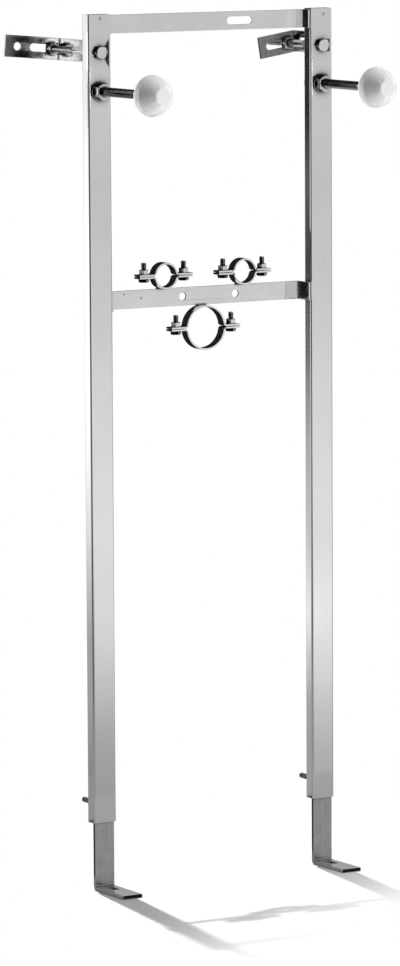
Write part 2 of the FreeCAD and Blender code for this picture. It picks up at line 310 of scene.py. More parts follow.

# The plated finishes: colour, share of it in dull places, streaks, scale of the clouds, roughness of bright
# and dull places, amount of scuffs, relief of the streaks, reach of the painted corner shade, density of the
# painted corner shade
PLATINGS = {
    "post_zinc": ("post", 0.94, ALONG_Z, 14.0, 0.10, 0.16, 0.2, 0.08, 12 * MM, 0.9),
    "bar_zinc": ("bar", 0.92, ALONG_X, 26.0, 0.12, 0.20, 0.35, 0.08, 4 * MM, 0.3),
    "foot_zinc": ("foot", 0.78, ALONG_Z, 60.0, 0.14, 0.24, 0.6, 0.10, 5 * MM, 0.6),
    "bracket_zinc": ("bracket", 0.66, ALONG_X, 220.0, 0.08, 0.15, 0.8, 0.08, 3 * MM, 0.5),
    "clamp_zinc": ("clamp", 0.90, ALONG_X, 60.0, 0.08, 0.14, 0.3, 0.08, 6 * MM, 0.7),
    "fastener_zinc": ("fastener", 0.88, ALONG_Y, 120.0, 0.08, 0.16, 0.3, 0.08, 7 * MM, 1.0),
    "stud_zinc": ("stud", 0.80, ALONG_Y, 90.0, 0.08, 0.18, 0.3, 0.08, 2 * MM, 1.0),
    "weld_zinc": ("foot", 0.70, ALONG_X, 300.0, 0.22, 0.45, 0.6, 0.30, 8 * MM, 0.8),
}
SCUFF_SCALE = 170.0
SCUFF_ROUGHNESS = 0.3
WORN_SHARE = 0.45
# Near-black colour of the painted shade laid into corners and contacts
PAINTED_SHADE_COLOUR = (0.01, 0.01, 0.01, 1)


def plated(name):
    """A plated steel, made once: clouds, drawn streaks, sparse scuffs and painted shade in the corners on a
    metal.
    """
    if name in bpy.data.materials:
        return bpy.data.materials[name]
    colour, dull, grain, cloud, smooth, rough, scuffs, bump, shade_reach, painted_shade = PLATINGS[name]
    material, tree = new_material(name)
    bright = getattr(finish(), colour)
    plate = place_group(tree, "plated_metal",
                        {"Bright": shade(bright), "Dull": shade(bright, dull), "Grain": grain,
                         "Cloud Scale": cloud, "Smooth": smooth, "Rough": rough})
    scuff = place_group(tree, "scuffs", {"Scale": SCUFF_SCALE, "Amount": scuffs})["Mask"]
    # Painted shade in the corners, from the ambient occlusion mask
    shade_mask = place_group(tree, "corner_grime", {"Distance": shade_reach, "Amount": painted_shade})["Mask"]
    scuffed = mix_colours(tree, scuff, plate["Color"], shade(bright, WORN_SHARE))
    # The painted corner shade darkens the plated colour towards near black
    with_painted_shade = mix_colours(tree, shade_mask, scuffed, PAINTED_SHADE_COLOUR)
    rougher = calculate(tree, "MULTIPLY_ADD", scuff, SCUFF_ROUGHNESS, plate["Roughness"])
    relief = add_node(tree, "Bump", {"Strength": bump, "Distance": 0.2 * MM, "Height": plate["Height"]})
    steel = add_node(tree, "BsdfPrincipled",
                     {"Base Color": with_painted_shade, "Metallic": 1.0, "Roughness": rougher,
                      "Normal": relief.outputs[0]})
    close_tree(tree, steel)
    return material


def cap_plastic():
    """Moulded white plastic with a fine grain."""
    material, tree = new_material("cap_plastic_white")
    white = finish().cap
    place = object_place(tree)
    cloud = noise(tree, place, 90.0, 3.0)
    colour = mix_colours(tree, cloud, shade(white, 0.95), shade(white))
    rough = remap(tree, cloud, 0.3, 0.7, 0.14, 0.22)
    grain = noise(tree, place, 2500.0, 2.0)
    relief = add_node(tree, "Bump", {"Strength": 0.06, "Distance": 0.1 * MM, "Height": grain})
    plastic = add_node(tree, "BsdfPrincipled",
                       {"Base Color": colour, "Roughness": rough, "Normal": relief.outputs[0], "IOR": 1.5})
    close_tree(tree, plastic)
    return material


# CAD nodes and new pieces

JOIN_GAP = 0.01 * MM
ROUNDED_ANGLE = math.radians(40)
ROUNDED_STEPS = 2
FLAT_FACE_WEIGHT = 90


def middle(node):
    """Middle of a CAD node's box."""
    low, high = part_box(node)
    return (Vector(low) + Vector(high)) / 2


def dress(node, plating, edge=0.0):
    """Gives a CAD node its plated finish and, where asked, rounds its sharp edges."""
    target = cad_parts[node]
    target.data.materials.clear()
    target.data.materials.append(plated(plating))
    if edge:
        join = target.modifiers.new("join_faces", "WELD")
        join.merge_threshold = JOIN_GAP
        rounding = target.modifiers.new("rounded_edges", "BEVEL")
        rounding.width = edge
        rounding.segments = ROUNDED_STEPS
        rounding.limit_method = "ANGLE"
        rounding.angle_limit = ROUNDED_ANGLE
        shading = target.modifiers.new("even_shading", "WEIGHTED_NORMAL")
        shading.weight = FLAT_FACE_WEIGHT


def piece(name, bm, material, matrix=None, smooth_angle=35, instead_of=None):
    """A new mesh object that moves with the frame, in place of a CAD node where one is named."""
    mesh = bpy.data.meshes.new(name)
    bmesh.ops.recalc_face_normals(bm, faces=bm.faces)
    bm.to_mesh(mesh)
    bm.free()
    if matrix is not None:
        mesh.transform(matrix)
    mesh.materials.append(material)
    made = bpy.data.objects.new(name, mesh)
    bpy.context.scene.collection.objects.link(made)
    mesh.shade_smooth()
    mesh.set_sharp_from_angle(angle=math.radians(smooth_angle))
    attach(made, BODY)
    if instead_of:
        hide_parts(instead_of)


def facing(start, direction):
    """A matrix that takes +Z to a direction and the origin to a point."""
    turn = Vector((0, 0, 1)).rotation_difference(Vector(direction)).to_matrix().to_4x4()
    return Matrix.Translation(Vector(start)) @ turn


def on_axis(node, y, direction):
    """A matrix that takes +Z forward or backward along the middle of a CAD node, from one of its ends."""
    centre = middle(node)
    return facing((centre.x, y, centre.z), direction)


# Threaded and turned shapes

# One turn of a thread: share of the pitch, and height from root to crest
THREAD_PROFILE = ((0.0, 0.0), (0.16, 0.0), (0.5, 1.0), (0.64, 1.0))
THREAD_DEPTH = 0.6
THREAD_LEAST_RADIUS = 0.7


def merge_into(bm, part, matrix=None):
    """Adds one mesh to another and frees it."""
    if matrix is not None:
        bmesh.ops.transform(part, matrix=matrix, verts=part.verts)
    store = bpy.data.meshes.new("store")
    part.to_mesh(store)
    part.free()
    bm.from_mesh(store)
    bpy.data.meshes.remove(store)


def add_thread(bm, radius, pitch, low, high, segments):
    """A helical ridge between two heights on the Z axis, cut square and chamfered at both ends."""
    depth = THREAD_DEPTH * pitch
    part = bmesh.new()
    rows = []
    first = math.floor(low / pitch) - 2
    last = math.ceil(high / pitch) + 1
    for turn in range(first, last + 1):
        for share, rise in THREAD_PROFILE:
            row = []
            for j in range(segments):
                z = (turn + share + j / segments) * pitch
                near_end = max(0.0, low + depth - z, z - high + depth)
                r = max(THREAD_LEAST_RADIUS * radius, min(radius - depth + depth * rise, radius - near_end))
                angle = 2 * math.pi * j / segments
                row.append(part.verts.new((r * math.cos(angle), r * math.sin(angle), z)))
            rows.append(row)
    step = len(THREAD_PROFILE)
    for i in range(len(rows) - step - 1):
        for j in range(segments):
            if j + 1 < segments:
                corners = (rows[i][j], rows[i][j + 1], rows[i + 1][j + 1], rows[i + 1][j])
            else:
                corners = (rows[i][j], rows[i + step][0], rows[i + step + 1][0], rows[i + 1][j])
            part.faces.new(corners)
    for height, outward in ((low, -1), (high, 1)):
        geometry = part.verts[:] + part.edges[:] + part.faces[:]
        bmesh.ops.bisect_plane(part, geom=geometry, plane_co=(0, 0, height), plane_no=(0, 0, outward),
                               clear_outer=True)
    loose = [v for v in part.verts if not v.link_faces]
    bmesh.ops.delete(part, geom=loose, context="VERTS")
    rim = [e for e in part.edges if e.is_boundary]
    bmesh.ops.holes_fill(part, edges=rim, sides=0)
    merge_into(bm, part)


def add_ring(bm, z, segments, radius_at):
    """A ring of points round Z whose radius follows the angle."""
    ring = []
    for j in range(segments):
        angle = 2 * math.pi * j / segments
        radius = radius_at(angle)
        ring.append(bm.verts.new((radius * math.cos(angle), radius * math.sin(angle), z)))
    return ring


def add_skin(bm, rings):
    """Faces from each ring to the next, where a ring may be a single point."""
    for a, b in zip(rings, rings[1:]):
        segments = max(len(a), len(b))
        for j in range(segments):
            k = (j + 1) % segments
            if len(a) == 1:
                bm.faces.new((a[0], b[j], b[k]))
            elif len(b) == 1:
                bm.faces.new((a[j], a[k], b[0]))
            else:
                bm.faces.new((a[j], a[k], b[k], b[j]))


def add_lathe(bm, rows, segments, outline=None):
    """Turns (height, radius) rows round Z, with an optional outline that limits the radius at an angle."""
    rings = []
    for z, r in rows:
        if r <= 0:
            rings.append([bm.verts.new((0, 0, z))])
        else:
            rings.append(add_ring(bm, z, segments, lambda angle: min(r, outline(angle)) if outline else r))
    add_skin(bm, rings)


def flat_share(angle, sides):
    """Distance to the flat of a regular polygon, as a share of the distance to its outline at an angle."""
    step = 2 * math.pi / sides
    return math.cos((angle + step / 2) % step - step / 2)


# A hexagon head: its face as a share of the flats, the slope and steps of its chamfer, and where its dish is
HEAD_FACE = 0.95
HEAD_CHAMFER = math.radians(30)
HEAD_STEPS = 8
HEAD_DISH = (0.82, 0.7)
HEAD_SEGMENTS = 72


def add_hex_head(bm, flats, low, high, turn, hollow):
    """A hexagon head from one height to another, with a turned chamfer and a shallow dished face."""
    corner = flats / 2 / math.cos(math.pi / 6)
    face = HEAD_FACE * flats / 2
    drop = (corner - face) * math.tan(HEAD_CHAMFER)
    way = 1 if high > low else -1
    rows = [(low, 0.0), (low, corner)]
    for i in range(HEAD_STEPS + 1):
        share = i / HEAD_STEPS
        rows.append((high - way * drop * (1 - share), corner + (face - corner) * share))
    rows.append((high, HEAD_DISH[0] * face))
    rows.append((high - way * hollow, HEAD_DISH[1] * face))
    rows.append((high - way * hollow, 0.0))
    add_lathe(bm, rows, HEAD_SEGMENTS, lambda angle: flats / 2 / flat_share(angle - turn, 6))


# Operators, one for each group of like pieces

class BASINFRAME_OT_posts(bpy.types.Operator):
    """Plates the posts and adds the small tack marks near their tops"""
    bl_idname = "basinframe.posts"
    bl_label = "Dress posts"

    # Where the tack marks are on the front of each post, from the post's middle and its top
    marks = {"left": (0.5 * MM, -4.3 * MM), "right": (2.5 * MM, -6.4 * MM)}
    # Heights and radii of a mark, and how it is leaned and stretched
    mark_rows = ((-0.1 * MM, 2.1 * MM), (0.12 * MM, 1.7 * MM), (0.16 * MM, 1.3 * MM), (0.02 * MM, 0.9 * MM),
                 (0.01 * MM, 0.0))
    mark_lean = math.radians(-28)
    mark_stretch = (0.62, 1.25, 1, 1)

    def execute(self, context):
        lean = Matrix.Rotation(self.mark_lean, 4, "Z") @ Matrix.Diagonal(self.mark_stretch)
        for side in SIDES:
            dress(side + "_post", "post_zinc")
            low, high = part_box(side + "_post")
            across, drop = self.marks[side]
            at = ((low[0] + high[0]) / 2 + across, low[1], high[2] + drop)
            bm = bmesh.new()
            add_lathe(bm, self.mark_rows, 28)
            piece(side + "_tack_mark", bm, plated("weld_zinc"), facing(at, FORWARD) @ lean)
        return {"FINISHED"}


class BASINFRAME_OT_bars(bpy.types.Operator):
    """Plates the two cross bars and rounds their edges"""
    bl_idname = "basinframe.bars"
    bl_label = "Dress bars"

    def execute(self, context):
        for node in BARS:
            dress(node, "bar_zinc", sizes().sheet_edge)
        return {"FINISHED"}


class BASINFRAME_OT_clamps(bpy.types.Operator):
    """Plates the halves of the pipe clamps and makes their bolts with real threads"""
    bl_idname = "basinframe.clamps"
    bl_label = "Dress pipe clamps"

    bolt_radius = 3 * MM
    head_height = 4 * MM
    head_hollow = 0.3 * MM
    thread_in_head = 0.5 * MM

    def execute(self, context):
        for clamp in CLAMPS:
            for half in ("_upper_half", "_lower_half"):
                dress(clamp + half, "clamp_zinc", sizes().sheet_edge)
            dress(clamp + "_nuts", "fastener_zinc", sizes().nut_edge)
            low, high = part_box(clamp + "_bolts")
            flats = high[1] - low[1]
            corner = flats / math.cos(math.pi / 6)
            head_top = low[2] + self.head_height
            bm = bmesh.new()
            for x in (low[0] + corner / 2, high[0] - corner / 2):
                one = bmesh.new()
                add_thread(one, self.bolt_radius, sizes().small_pitch, head_top - self.thread_in_head,
                           high[2], 24)
                add_hex_head(one, flats, head_top, low[2], 0.0, self.head_hollow)
                merge_into(bm, one, Matrix.Translation((x, (low[1] + high[1]) / 2, 0)))
            piece(clamp + "_threaded_bolts", bm, plated("fastener_zinc"),
                  instead_of=clamp + "_bolts")
        return {"FINISHED"}


class BASINFRAME_OT_studs(bpy.types.Operator):
    """Makes the basin studs as threaded bars and dresses their nuts and washers"""
    bl_idname = "basinframe.studs"
    bl_label = "Dress studs"

    def execute(self, context):
        for side in SIDES:
            node = side + "_stud"
            low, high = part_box(node)
            radius = (high[0] - low[0]) / 2
            bm = bmesh.new()
            add_thread(bm, radius, sizes().stud_pitch, 0.0, high[1] - low[1], 32)
            piece(side + "_threaded_stud", bm, plated("stud_zinc"),
                  on_axis(node, high[1], FORWARD), instead_of=node)
            for fastener in ("_washer", "_front_nut", "_back_nut"):
                dress(node + fastener, "fastener_zinc", sizes().nut_edge)
        return {"FINISHED"}


class BASINFRAME_OT_caps(bpy.types.Operator):
    """Makes the white stud caps with a rim band, a soft dome and an eight-sided flat"""
    bl_idname = "basinframe.caps"
    bl_label = "Dress caps"

    segments = 128
    dome_steps = 40
    smooth_angle = 50
    # Radius at the foot of the dome, and a height and radius that the dome passes through
    shoulder = 21.0 * MM
    bulge = (17.9 * MM, 16.2 * MM)
    # The facets round the flat: how many, how fast they widen, and how softly they meet the dome
    facets = 8
    facet_slope = 1.0
    facet_blend = 0.6 * MM
    # The blind hole for the stud
    bore = 5.05 * MM
    bore_depth = 13.0 * MM
    # The rings of the flat, from its edge inward: inset and drop
    flat_rings = ((0.1 * MM, 0.12 * MM), (0.4 * MM, 0.02 * MM), (1.2 * MM, 0.0), (4.0 * MM, 0.0),
                  (7.5 * MM, 0.0))

    def dome(self, depth):
        """Radius of the dome by height: a circle through the shoulder, the bulge and the flat's corners."""
        a = Vector((sizes().cap_rim, self.shoulder))
        b = Vector(self.bulge)
        c = Vector((depth, sizes().cap_flat / 2 / math.cos(math.pi / self.facets)))
        d = 2 * (a.x * (b.y - c.y) + b.x * (c.y - a.y) + c.x * (a.y - b.y))
        ux = (a.dot(a) * (b.y - c.y) + b.dot(b) * (c.y - a.y) + c.dot(c) * (a.y - b.y)) / d
        uy = (a.dot(a) * (c.x - b.x) + b.dot(b) * (a.x - c.x) + c.dot(c) * (b.x - a.x)) / d
        radius = (a - Vector((ux, uy))).length
        return lambda z: uy + math.sqrt(max(0.0, radius ** 2 - (z - ux) ** 2))

    def rows(self, depth, rim):
        """Heights and radii from the bore's floor, round the rim and up the dome."""
        band = sizes().cap_rim
        dome = self.dome(depth)
        rows = [(self.bore_depth, self.bore), (0.5 * MM, self.bore), (0.0, self.bore + 0.5 * MM),
                (0.0, rim - 1.1 * MM), (0.25 * MM, rim - 0.4 * MM), (0.9 * MM, rim - 0.12 * MM)]
        rows += [(band * s, rim + (self.shoulder - rim) * s - 0.05 * MM) for s in (0.3, 0.6, 0.9)]
        rows.append((band, self.shoulder - 0.25 * MM))
        last = depth - 0.35 * MM
        for i in range(1, self.dome_steps + 1):
            z = band + (last - band) * i / self.dome_steps
            rows.append((z, dome(z) - 0.02 * MM))
        return rows

    def faceted(self, angle, z, r, depth):
        """Radius of a row at an angle, where the facets cut the dome softly."""
        facet = (sizes().cap_flat / 2 + (depth - z) * self.facet_slope) / flat_share(angle, self.facets)
        gap = facet - r
        if z <= sizes().cap_rim or gap > self.facet_blend:
            return r
        if gap > -self.facet_blend:
            return r - (self.facet_blend - gap) ** 2 / (4 * self.facet_blend)
        return facet

    def execute(self, context):
        flat = sizes().cap_flat / 2
        plastic = cap_plastic()
        for side in SIDES:
            node = side + "_stud_cap"
            low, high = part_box(node)
            depth = high[1] - low[1]
            bm = bmesh.new()
            rings = [[bm.verts.new((0, 0, self.bore_depth))]]
            for z, r in self.rows(depth, (high[0] - low[0]) / 2):
                rings.append(add_ring(bm, z, self.segments, lambda angle: self.faceted(angle, z, r, depth)))
            for inset, drop in self.flat_rings:
                rings.append(add_ring(bm, depth - drop, self.segments,
                                      lambda angle: (flat - inset) / flat_share(angle, self.facets)))
            add_skin(bm, rings)
            bm.faces.new(rings[-1])
            piece(side + "_cap", bm, plastic, on_axis(node, high[1], FORWARD),
                  self.smooth_angle, instead_of=node)
        return {"FINISHED"}


class BASINFRAME_OT_brackets(bpy.types.Operator):
    """Dresses the wall brackets and makes their long bolts with real threads"""
    bl_idname = "basinframe.brackets"
    bl_label = "Dress wall brackets"

    shank = 4 * MM
    head_turn = math.radians(30)
    head_hollow = 0.1 * MM
    # Where the smooth shank runs into the thread: length and share of the shank's radius
    run_out = 0.6 * MM
    run_out_share = 0.84

    def execute(self, context):
        for side in SIDES:
            dress(side + "_wall_bracket", "bracket_zinc", sizes().sheet_edge)
            for fastener in ("_bracket_nut", "_bracket_washer"):
                dress(side + fastener, "fastener_zinc", sizes().nut_edge)
            node = side + "_bracket_bolt"
            low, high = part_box(node)
            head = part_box(side + "_post")[0][1] - low[1]
            length = high[1] - low[1]
            smooth_end = length - sizes().bolt_thread
            bm = bmesh.new()
            add_hex_head(bm, high[0] - low[0], head, 0.0, self.head_turn, self.head_hollow)
            add_lathe(bm, [(head, self.shank), (smooth_end, self.shank),
                           (smooth_end + self.run_out, self.run_out_share * self.shank)], 36)
            add_thread(bm, self.shank, sizes().bolt_pitch, smooth_end, length, 28)
            piece(side + "_threaded_bracket_bolt", bm, plated("fastener_zinc"),
                  on_axis(node, low[1], BACKWARD), instead_of=node)
        return {"FINISHED"}


class BASINFRAME_OT_feet(bpy.types.Operator):
    """Dresses the sliding feet and makes their locking screws with real threads"""
    bl_idname = "basinframe.feet"
    bl_label = "Dress feet"

    socket_flats = 3.0 * MM
    socket_depth = 4.0 * MM

    def add_socket(self, bm, end):
        """Opens a hexagon socket in the flat end of a thread."""
        sixth = math.pi / 3
        corner = self.socket_flats / 2 / math.cos(sixth / 2)
        flat_end = max(bm.faces, key=lambda face: face.calc_center_median().z)
        bmesh.ops.delete(bm, geom=[flat_end], context="FACES_ONLY")
        rim = [e for e in bm.edges if e.is_boundary]
        mouth = add_ring(bm, end, 6, lambda angle: corner)
        floor = add_ring(bm, end - self.socket_depth, 6, lambda angle: corner)
        sides = [bm.edges.new((mouth[i - 1], mouth[i])) for i in range(6)]
        bmesh.ops.bridge_loops(bm, edges=rim + sides)
        for i in range(6):
            bm.faces.new((mouth[i - 1], mouth[i], floor[i], floor[i - 1]))
        bm.faces.new(floor)

    def execute(self, context):
        for side in SIDES:
            dress(side + "_foot", "foot_zinc", sizes().sheet_edge)
            dress(side + "_foot_lock_nut", "fastener_zinc", sizes().nut_edge)
            node = side + "_foot_lock_screw"
            low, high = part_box(node)
            radius = (high[0] - low[0]) / 2
            length = high[1] - low[1]
            bm = bmesh.new()
            add_thread(bm, radius, sizes().small_pitch, 0.0, length, 24)
            self.add_socket(bm, length)
            piece(side + "_threaded_lock_screw", bm, plated("stud_zinc"),
                  on_axis(node, low[1], BACKWARD), instead_of=node)
        return {"FINISHED"}


class BASINFRAME_OT_welds(bpy.types.Operator):
    """Lays the weld beads that hold the clamps to the bar and the bars to the posts"""
    bl_idname = "basinframe.welds"
    bl_label = "Lay welds"

    # Half the length of a clamp's bead, and where a bar's beads start and end on the posts
    clamp_reach = 6.5 * MM
    bar_ends = (-12 * MM, -3 * MM)
    # Spacing of the rings along a bead, and of its ripples
    bead_step = 0.18 * MM
    ripple = 0.95 * MM
    # Small burn marks on the front of the clamp bar: across, up and radius
    spots = ((-97.3 * MM, -293.2 * MM, 1.3 * MM), (-75.6 * MM, -298.4 * MM, 1.8 * MM))
    # Heights of a burn mark, with shares of its radius
    spot_rows = ((-0.1 * MM, 1.0), (0.1 * MM, 0.8), (0.12 * MM, 0.6), (0.0, 0.4), (0.0, 0.0))

    def bead(self, bm, start, end, radius, seed):
        """A rippled bead along a straight line with rounded ends."""
        wander = random.Random(seed).uniform(0, 6)
        start = Vector(start)
        run = Vector(end) - start
        length = run.length
        steps = max(8, int(length / self.bead_step))
        rows = []
        for i in range(steps + 1):
            z = length * i / steps
            edge = min(z, length - z) / (1.1 * radius)
            taper = math.sqrt(max(0.0, 1 - max(0.0, 1 - edge) ** 2))
            wave = 0.92 + 0.1 * math.sqrt(abs(math.sin(math.pi * z / self.ripple)))
            swell = 1 + 0.08 * math.sin(wander + 2.1 * z / radius)
            rows.append((z, radius * taper * wave * swell))
        part = bmesh.new()
        add_lathe(part, rows, 14)
        merge_into(bm, part, facing(start, run.normalized()))

    def execute(self, context):
        radius = sizes().bead
        bar_low, bar_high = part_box("clamp_bar")
        front = bar_high[1] - BAR_SHEET
        seed = 1
        bm = bmesh.new()
        for clamp in CLAMPS:
            x = middle(clamp + "_upper_half").x
            level = bar_low[2] if clamp == "waste_clamp" else bar_high[2]
            for y in (front, bar_high[1]):
                ends = [(x + way * self.clamp_reach, y, level) for way in (-1, 1)]
                self.bead(bm, *ends, radius, seed)
                seed += 1
        piece("clamp_welds", bm, plated("weld_zinc"))
        bm = bmesh.new()
        start, end = self.bar_ends
        for node in BARS:
            low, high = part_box(node)
            for x in (low[0], high[0]):
                for z in (low[2] + radius / 2, high[2] - radius / 2):
                    self.bead(bm, (x, start, z), (x, end, z), radius, seed)
                    seed += 1
        piece("bar_welds", bm, plated("weld_zinc"))
        bm = bmesh.new()
        for x, z, wide in self.spots:
            spot = bmesh.new()
            add_lathe(spot, [(height, share * wide) for height, share in self.spot_rows], 28)
            merge_into(bm, spot, facing((x, front, z), FORWARD))
        piece("clamp_bar_spot_marks", bm, plated("weld_zinc"))
        return {"FINISHED"}


class BASINFRAME_OT_stage(bpy.types.Operator):
    """Sets the floor, the lamps, the cards that the plated steel mirrors, the world and the camera"""
    bl_idname = "basinframe.stage"
    bl_label = "Set stage"

    camera_place = (-3.14505, -5.26276, 0.25901)
    # Heading, pitch from straight down, and roll
    camera_turns = ((-30.79, "Z"), (90 - 7.10, "X"), (-0.30, "Z"))
    lens = 210.17
    sensor = 36.0
    sun_from = (0.0506, 0.338, 0.940)
    sun_angle = math.radians(1.0)
    # The even light is dimmer from this side: its share there, and where it starts and ends
    dim_side = (-0.95, -0.3, 0.0)
    dim_share = 0.1
    dim_range = (-0.2, 0.6)
    # The lamps round each cap: setting of its power, kind, place from the cap's middle, and size
    narrow = math.radians(16)
    wide = math.radians(20)
    cap_lamps = {
        "front_spot": ("front", "SPOT", (2.54, -3.72, 0.70), {"spot_size": narrow, "shadow_soft_size": 0.4}),
        "top_spot": ("top", "SPOT", (0.70, 0.0, 2.20), {"spot_size": wide, "shadow_soft_size": 0.4}),
        "rim_spot": ("rim", "SPOT", (-0.88, 2.32, -0.17), {"spot_size": wide, "shadow_soft_size": 0.1}),
        "low_softbox": ("under", "AREA", (0.22, -0.38, -0.62), {"size": 0.5}),
    }
    # The floor: half its size, its drop below the feet, its colours, and its level in the plated steel
    floor_reach = 14.0
    floor_drop = 0.1 * MM
    floor_colour = (0.93, 0.93, 0.93, 1)
    floor_bounce = (0.45, 0.45, 0.45, 1)
    floor_mirrored = 0.35
    # The shadow runs out ahead of the feet, sooner on the right, and then behind, aside and to the left
    fade_slant = 0.58
    fade_ahead = (0.0, 0.305)
    fade_behind = (0.05, 0.30)
    fade_aside = (0.30, 0.70)
    fade_left = (-0.1555, -0.158)

    # Brightness of the graded cards by height
    front_levels = ((-0.94, 0.4), (-0.9, 0.43), (-0.846, 0.5), (-0.739, 0.85), (-0.631, 0.915),
                    (-0.524, 0.88), (-0.416, 0.79), (-0.31, 0.7), (-0.2, 0.67), (-0.1, 0.71),
                    (-0.06, 0.66), (0.1, 0.68))
    front_right_levels = ((-0.94, 0.5), (-0.9, 0.56), (-0.846, 0.7), (-0.739, 1.05)) + front_levels[4:]
    front_left_levels = front_levels + ((0.13, 0.02), (0.45, 0.02))
    feet_levels = ((-0.94, 0.41), (-0.88, 0.43), (-0.85, 0.45))
    inner_levels = ((-0.848, 0.42), (-0.784, 0.48), (-0.686, 1.05), (-0.586, 0.68), (-0.488, 0.5),
                    (-0.386, 0.19), (-0.285, 0.05), (-0.193, 0.1), (-0.11, 0.01), (0.1, 0.01))
    outer_levels = ((-0.94, 0.28), (-0.872, 0.4), (-0.765, 0.45), (-0.657, 0.87), (-0.55, 1.26),
                    (-0.44, 1.5), (-0.335, 1.6), (-0.227, 1.4), (-0.13, 1.12), (0.1, 1.05))
    bolt_head_levels = ((-0.049, 0.5), (-0.043, 0.03), (-0.03, 0.0), (-0.019, 0.03), (-0.013, 0.5))
    # Brightness of the card at the left from front to back
    left_levels = ((-0.9, 0.0), (-0.16, 0.0), (-0.06, 0.32), (0.45, 0.32))
    # Brightness of the small card before the left bracket from left to right
    bracket_levels = ((-0.15, 0.1), (-0.14, 0.12), (-0.1365, 0.0), (-0.1195, 0.0), (-0.116, 0.08),
                      (-0.1096, 0.12))

    # Upright cards: name, both ends on plan, lower and upper edge, brightness, and the axis it follows
    uprights = (
        ("front_card", (-0.05, -0.44), (0.26, -0.44), FLOOR, 0.1, front_levels),
        ("front_card_right", (0.26, -0.44), (0.75, -0.44), FLOOR, 0.1, front_right_levels),
        ("feet_card", (-0.2, -0.08), (0.3, -0.08), FLOOR, -0.85, feet_levels),
        ("inner_side_card", (0.005, 0.15), (0.072, 0.15), FLOOR, 0.1, inner_levels),
        ("outer_side_card", (-0.85, 0.6), (-0.4, 0.6), FLOOR, 0.1, outer_levels),
        ("grey_card_behind", (-0.4, 0.6), (1.6, 0.6), FLOOR, 0.45, 0.5),
        ("front_card_left", (-0.96, -1.157), (0.35, -1.94), FLOOR, 0.45, front_left_levels),
        ("dark_card_camera", (-1.19, -1.02), (-0.96, -1.157), FLOOR, 0.55, 0.005),
        ("dark_card_left", (-1.2, -0.9), (-1.2, 0.45), FLOOR, 0.55, left_levels, "Y"),
        ("dark_card_supply", (-0.12, 0.03), (0.09, 0.03), -0.3, -0.238, 0.01),
        ("dark_card_waste", (-0.085, 0.03), (0.055, 0.03), -0.387, -0.3, 0.01),
        ("dark_card_stud", (-0.26, 0.05), (-0.197, 0.05), -0.115, -0.065, 0.02),
        ("left_bracket_card", (-0.15, 0.002), (-0.1096, 0.002), -0.055, -0.015, bracket_levels, "X"),
        ("bright_bracket_card", (-0.207, 0.004), (-0.1625, 0.004), -0.05, -0.008, 1.4),
        ("right_bracket_card", (0.12, 0.02), (0.17, 0.02), -0.055, -0.012, 0.22),
        ("right_bolt_head_card", (0.1535, -0.027), (0.158, -0.027), -0.037, -0.023, 0.02),
        ("left_foot_edge_card", (-0.25, 0.05), (-0.16, 0.05), FLOOR, -0.876, 0.03),
        ("right_foot_edge_card", (0.03, 0.05), (0.12, 0.05), FLOOR, -0.876, 0.03),
    )
    # Cards of other shapes: corners and brightness
    others = {
        "dark_card_above": (((-1.2, -1.8, 0.6), (1.2, -1.8, 0.6), (1.2, 0.7, 0.6), (-1.2, 0.7, 0.6)), 0.03),
        "left_bolt_head_card": (((-0.129, -0.027, -0.034), (-0.121, -0.027, -0.049),
                                 (-0.121, -0.027, -0.013), (-0.129, -0.027, -0.026)), bolt_head_levels),
    }
    # The flat faces that mirror the left front card
    flat_nodes = ("left_post", "right_post", *BARS, "left_foot", "right_foot")
    # A light strip before the right end of each bar, from these places to the post, at this depth
    end_starts = {"top_bar": 0.114, "clamp_bar": 0.107}
    end_stop = 0.1208
    end_depth = -0.02
    end_level = 0.72
    # How far left per depth the view runs after it meets the bars' tabs, and the ends of the tab cards
    tab_slope = 0.596
    tab_far = (0.53, 0.79)

    def plain_plane(self, name, corners, material):
        """A flat stage piece with four corners."""
        mesh = bpy.data.meshes.new(name)
        mesh.from_pydata(corners, [], [(0, 1, 2, 3)])
        mesh.materials.append(material)
        made = bpy.data.objects.new(name, mesh)
        bpy.context.scene.collection.objects.link(made)
        return made

    def seen_directly(self, tree):
        """1 for rays from the camera and for mirror and glass rays, else 0."""
        path = add_node(tree, "LightPath").outputs
        first = calculate(tree, "MAXIMUM", path["Is Camera Ray"], path["Is Glossy Ray"])
        return calculate(tree, "MAXIMUM", first, path["Is Transmission Ray"])

